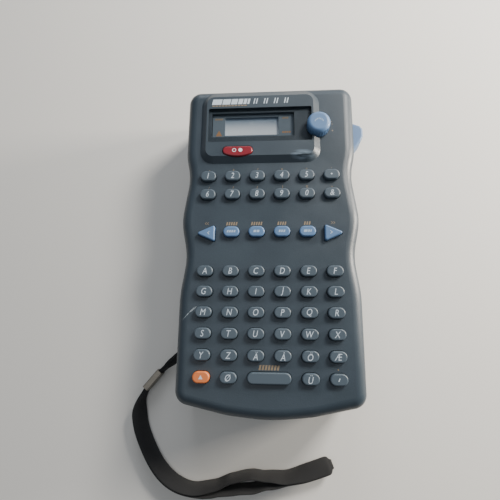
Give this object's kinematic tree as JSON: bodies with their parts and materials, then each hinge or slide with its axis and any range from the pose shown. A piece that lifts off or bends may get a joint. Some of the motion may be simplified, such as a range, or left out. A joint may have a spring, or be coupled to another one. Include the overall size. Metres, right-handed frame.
{
  "type": "handheld electronic label maker",
  "caption": "Handheld electronic label maker with a full key grid, small display under a smoked lens, selector dial, side cutter button, tape drive and a wrist strap.",
  "frame": {"origin": "middle of the underside, on the face of the middle rest pad, on the case's centre line", "axes": "+X to the right side with the cutter button, +Y to the display end, +Z out of the keyboard face"},
  "size_m": [0.1352, 0.2338, 0.049],
  "materials": {
    "case_front": "fine spark-textured ABS, slate grey",
    "case_rear": "fine spark-textured ABS, slate grey",
    "door": "fine spark-textured ABS, slate grey",
    "key_cap": "satin moulded caps with printed legends",
    "function_key": "satin moulded caps, light blue",
    "shift_key": "satin moulded cap, orange",
    "power_key": "satin moulded cap, dark red",
    "dial": "satin moulded dial, light blue",
    "cutter_button": "satin moulded button, light blue",
    "rubber_pad": "matt black rubber",
    "screw_steel": "zinc-plated steel",
    "smoked_lens": "smoked clear acrylic",
    "display_panel": "printed grey-blue panel",
    "lcd": "pale blue-grey liquid crystal glass",
    "board": "green solder mask",
    "key_mat": "grey silicone",
    "cell_can": "wrapped steel can",
    "contact_metal": "nickel-plated spring steel",
    "cassette": "satin polystyrene",
    "tape": "laminated polyester film",
    "chassis": "zinc-plated sheet steel",
    "print_head": "ceramic heater on aluminium",
    "motor_can": "plain drawn steel can",
    "gear": "natural acetal",
    "gear_brass": "turned brass",
    "platen_rubber": "ground rubber",
    "blade": "ground steel",
    "strap": "black woven ribbon, two layers",
    "crimp": "plain grey metal",
    "pin_metal": "plated steel rivet"
  },
  "bodies": {
    "case": {"front_shell": "case_front", "rear_shell": "case_rear", "rest_pads": "rubber_pad", "case_screws": "screw_steel", "display_lens": "smoked_lens", "display_panel": "display_panel", "lcd_module": "lcd", "main_board": "board", "key_mat": "key_mat", "power_cells": "cell_can", "cell_contacts": "contact_metal", "tape_cassette": "cassette", "label_tape": "tape", "drive_chassis": "chassis", "print_head": "print_head", "drive_motor": "motor_can", "strap": "strap", "strap_crimp": "crimp", "strap_pin": "pin_metal"},
    "key_1": {"key_1": "key_cap"},
    "key_2": {"key_2": "key_cap"},
    "key_3": {"key_3": "key_cap"},
    "key_4": {"key_4": "key_cap"},
    "key_5": {"key_5": "key_cap"},
    "key_dot": {"key_dot": "key_cap"},
    "key_6": {"key_6": "key_cap"},
    "key_7": {"key_7": "key_cap"},
    "key_8": {"key_8": "key_cap"},
    "key_9": {"key_9": "key_cap"},
    "key_0": {"key_0": "key_cap"},
    "key_sign": {"key_sign": "key_cap"},
    "key_function_1": {"key_function_1": "function_key"},
    "key_function_2": {"key_function_2": "function_key"},
    "key_function_3": {"key_function_3": "function_key"},
    "key_function_4": {"key_function_4": "function_key"},
    "key_left": {"key_left": "function_key"},
    "key_right": {"key_right": "function_key"},
    "keys_letters_1": {"keys_letters_1": "key_cap"},
    "keys_letters_2": {"keys_letters_2": "key_cap"},
    "keys_letters_3": {"keys_letters_3": "key_cap"},
    "keys_letters_4": {"keys_letters_4": "key_cap"},
    "keys_letters_5": {"keys_letters_5": "key_cap"},
    "key_shift": {"key_shift": "shift_key"},
    "key_letter_left": {"key_letter_left": "key_cap"},
    "key_space": {"key_space": "key_cap"},
    "key_letter_right": {"key_letter_right": "key_cap"},
    "key_comma": {"key_comma": "key_cap"},
    "power_key": {"power_key": "power_key"},
    "dial": {"dial": "dial"},
    "cutter": {"cutter_button": "cutter_button", "cutter_blade": "blade"},
    "battery_door": {"battery_door": "door"},
    "cassette_door": {"cassette_door": "door"},
    "tape_roll": {"tape_roll": "tape"},
    "platen": {"platen_gear": "gear", "platen_roller": "platen_rubber"},
    "idler_gear": {"idler_gear": "gear"},
    "motor_pinion": {"motor_pinion": "gear_brass"},
    "ribbon_spindle": {"ribbon_spindle": "gear"}
  },
  "joints": [
    {"name": "key_1_press", "type": "slide", "parent": "case", "child": "key_1", "axis": [0, 0, -1], "range_m": [0, 0.0012], "stiffness_N_per_m": 400, "springref_m": -0.0005},
    {"name": "key_2_press", "type": "slide", "parent": "case", "child": "key_2", "axis": [0, 0, -1], "range_m": [0, 0.0012], "stiffness_N_per_m": 400, "springref_m": -0.0005},
    {"name": "key_3_press", "type": "slide", "parent": "case", "child": "key_3", "axis": [0, 0, -1], "range_m": [0, 0.0012], "stiffness_N_per_m": 400, "springref_m": -0.0005},
    {"name": "key_4_press", "type": "slide", "parent": "case", "child": "key_4", "axis": [0, 0, -1], "range_m": [0, 0.0012], "stiffness_N_per_m": 400, "springref_m": -0.0005},
    {"name": "key_5_press", "type": "slide", "parent": "case", "child": "key_5", "axis": [0, 0, -1], "range_m": [0, 0.0012], "stiffness_N_per_m": 400, "springref_m": -0.0005},
    {"name": "key_dot_press", "type": "slide", "parent": "case", "child": "key_dot", "axis": [0, 0, -1], "range_m": [0, 0.0012], "stiffness_N_per_m": 400, "springref_m": -0.0005},
    {"name": "key_6_press", "type": "slide", "parent": "case", "child": "key_6", "axis": [0, 0, -1], "range_m": [0, 0.0012], "stiffness_N_per_m": 400, "springref_m": -0.0005},
    {"name": "key_7_press", "type": "slide", "parent": "case", "child": "key_7", "axis": [0, 0, -1], "range_m": [0, 0.0012], "stiffness_N_per_m": 400, "springref_m": -0.0005},
    {"name": "key_8_press", "type": "slide", "parent": "case", "child": "key_8", "axis": [0, 0, -1], "range_m": [0, 0.0012], "stiffness_N_per_m": 400, "springref_m": -0.0005},
    {"name": "key_9_press", "type": "slide", "parent": "case", "child": "key_9", "axis": [0, 0, -1], "range_m": [0, 0.0012], "stiffness_N_per_m": 400, "springref_m": -0.0005},
    {"name": "key_0_press", "type": "slide", "parent": "case", "child": "key_0", "axis": [0, 0, -1], "range_m": [0, 0.0012], "stiffness_N_per_m": 400, "springref_m": -0.0005},
    {"name": "key_sign_press", "type": "slide", "parent": "case", "child": "key_sign", "axis": [0, 0, -1], "range_m": [0, 0.0012], "stiffness_N_per_m": 400, "springref_m": -0.0005},
    {"name": "key_function_1_press", "type": "slide", "parent": "case", "child": "key_function_1", "axis": [0, 0, -1], "range_m": [0, 0.0012], "stiffness_N_per_m": 400, "springref_m": -0.0005},
    {"name": "key_function_2_press", "type": "slide", "parent": "case", "child": "key_function_2", "axis": [0, 0, -1], "range_m": [0, 0.0012], "stiffness_N_per_m": 400, "springref_m": -0.0005},
    {"name": "key_function_3_press", "type": "slide", "parent": "case", "child": "key_function_3", "axis": [0, 0, -1], "range_m": [0, 0.0012], "stiffness_N_per_m": 400, "springref_m": -0.0005},
    {"name": "key_function_4_press", "type": "slide", "parent": "case", "child": "key_function_4", "axis": [0, 0, -1], "range_m": [0, 0.0012], "stiffness_N_per_m": 400, "springref_m": -0.0005},
    {"name": "key_left_press", "type": "slide", "parent": "case", "child": "key_left", "axis": [0, 0, -1], "range_m": [0, 0.0012], "stiffness_N_per_m": 400, "springref_m": -0.0005},
    {"name": "key_right_press", "type": "slide", "parent": "case", "child": "key_right", "axis": [0, 0, -1], "range_m": [0, 0.0012], "stiffness_N_per_m": 400, "springref_m": -0.0005},
    {"name": "keys_letters_1_press", "type": "slide", "parent": "case", "child": "keys_letters_1", "axis": [0, 0, -1], "range_m": [0, 0.0012], "stiffness_N_per_m": 1200, "springref_m": -0.0005},
    {"name": "keys_letters_2_press", "type": "slide", "parent": "case", "child": "keys_letters_2", "axis": [0, 0, -1], "range_m": [0, 0.0012], "stiffness_N_per_m": 1200, "springref_m": -0.0005},
    {"name": "keys_letters_3_press", "type": "slide", "parent": "case", "child": "keys_letters_3", "axis": [0, 0, -1], "range_m": [0, 0.0012], "stiffness_N_per_m": 1200, "springref_m": -0.0005},
    {"name": "keys_letters_4_press", "type": "slide", "parent": "case", "child": "keys_letters_4", "axis": [0, 0, -1], "range_m": [0, 0.0012], "stiffness_N_per_m": 1200, "springref_m": -0.0005},
    {"name": "keys_letters_5_press", "type": "slide", "parent": "case", "child": "keys_letters_5", "axis": [0, 0, -1], "range_m": [0, 0.0012], "stiffness_N_per_m": 1200, "springref_m": -0.0005},
    {"name": "key_shift_press", "type": "slide", "parent": "case", "child": "key_shift", "axis": [0, 0, -1], "range_m": [0, 0.0012], "stiffness_N_per_m": 400, "springref_m": -0.0005},
    {"name": "key_letter_left_press", "type": "slide", "parent": "case", "child": "key_letter_left", "axis": [0, 0, -1], "range_m": [0, 0.0012], "stiffness_N_per_m": 400, "springref_m": -0.0005},
    {"name": "key_space_press", "type": "slide", "parent": "case", "child": "key_space", "axis": [0, 0, -1], "range_m": [0, 0.0012], "stiffness_N_per_m": 400, "springref_m": -0.0005},
    {"name": "key_letter_right_press", "type": "slide", "parent": "case", "child": "key_letter_right", "axis": [0, 0, -1], "range_m": [0, 0.0012], "stiffness_N_per_m": 400, "springref_m": -0.0005},
    {"name": "key_comma_press", "type": "slide", "parent": "case", "child": "key_comma", "axis": [0, 0, -1], "range_m": [0, 0.0012], "stiffness_N_per_m": 400, "springref_m": -0.0005},
    {"name": "power_key_press", "type": "slide", "parent": "case", "child": "power_key", "axis": [0, 0, -1], "range_m": [0, 0.0012], "stiffness_N_per_m": 400, "springref_m": -0.0005},
    {"name": "dial_turn", "type": "hinge", "parent": "case", "child": "dial", "pos_m": [0.0282, 0.0667, 0.046], "axis": [0, 0, 1], "continuous": true},
    {"name": "cutter_press", "type": "slide", "parent": "case", "child": "cutter", "axis": [-1, 0, 0], "range_m": [0, 0.0045], "stiffness_N_per_m": 700, "springref_m": -0.002},
    {"name": "battery_door_hinge", "type": "hinge", "parent": "case", "child": "battery_door", "pos_m": [0, -0.07615, 0.0022], "axis": [-1, 0, 0], "range_deg": [0, 95]},
    {"name": "cassette_door_hinge", "type": "hinge", "parent": "case", "child": "cassette_door", "pos_m": [0, 0.07715, 0.0022], "axis": [1, 0, 0], "range_deg": [0, 95]},
    {"name": "tape_roll_spin", "type": "hinge", "parent": "case", "child": "tape_roll", "pos_m": [-0.014, 0.046, 0.02], "axis": [0, 0, 1], "continuous": true},
    {"name": "platen_spin", "type": "hinge", "parent": "case", "child": "platen", "pos_m": [0.0382, 0.07, 0.02], "axis": [0, 0, 1], "continuous": true},
    {"name": "idler_spin", "type": "hinge", "parent": "case", "child": "idler_gear", "pos_m": [0.03296, 0.05488, 0.02], "axis": [0, 0, 1], "continuous": true},
    {"name": "pinion_spin", "type": "hinge", "parent": "case", "child": "motor_pinion", "pos_m": [0.037, 0.042, 0.02], "axis": [0, 0, 1], "continuous": true},
    {"name": "ribbon_spin", "type": "hinge", "parent": "case", "child": "ribbon_spindle", "pos_m": [0.01702, 0.05628, 0.02], "axis": [0, 0, 1], "continuous": true}
  ],
  "couplings": [
    {"joint": "platen_spin", "follows": "tape_roll_spin", "ratio": 5},
    {"joint": "idler_spin", "follows": "tape_roll_spin", "ratio": -2.619},
    {"joint": "pinion_spin", "follows": "tape_roll_spin", "ratio": 9.1667},
    {"joint": "ribbon_spin", "follows": "tape_roll_spin", "ratio": 5}
  ]
}
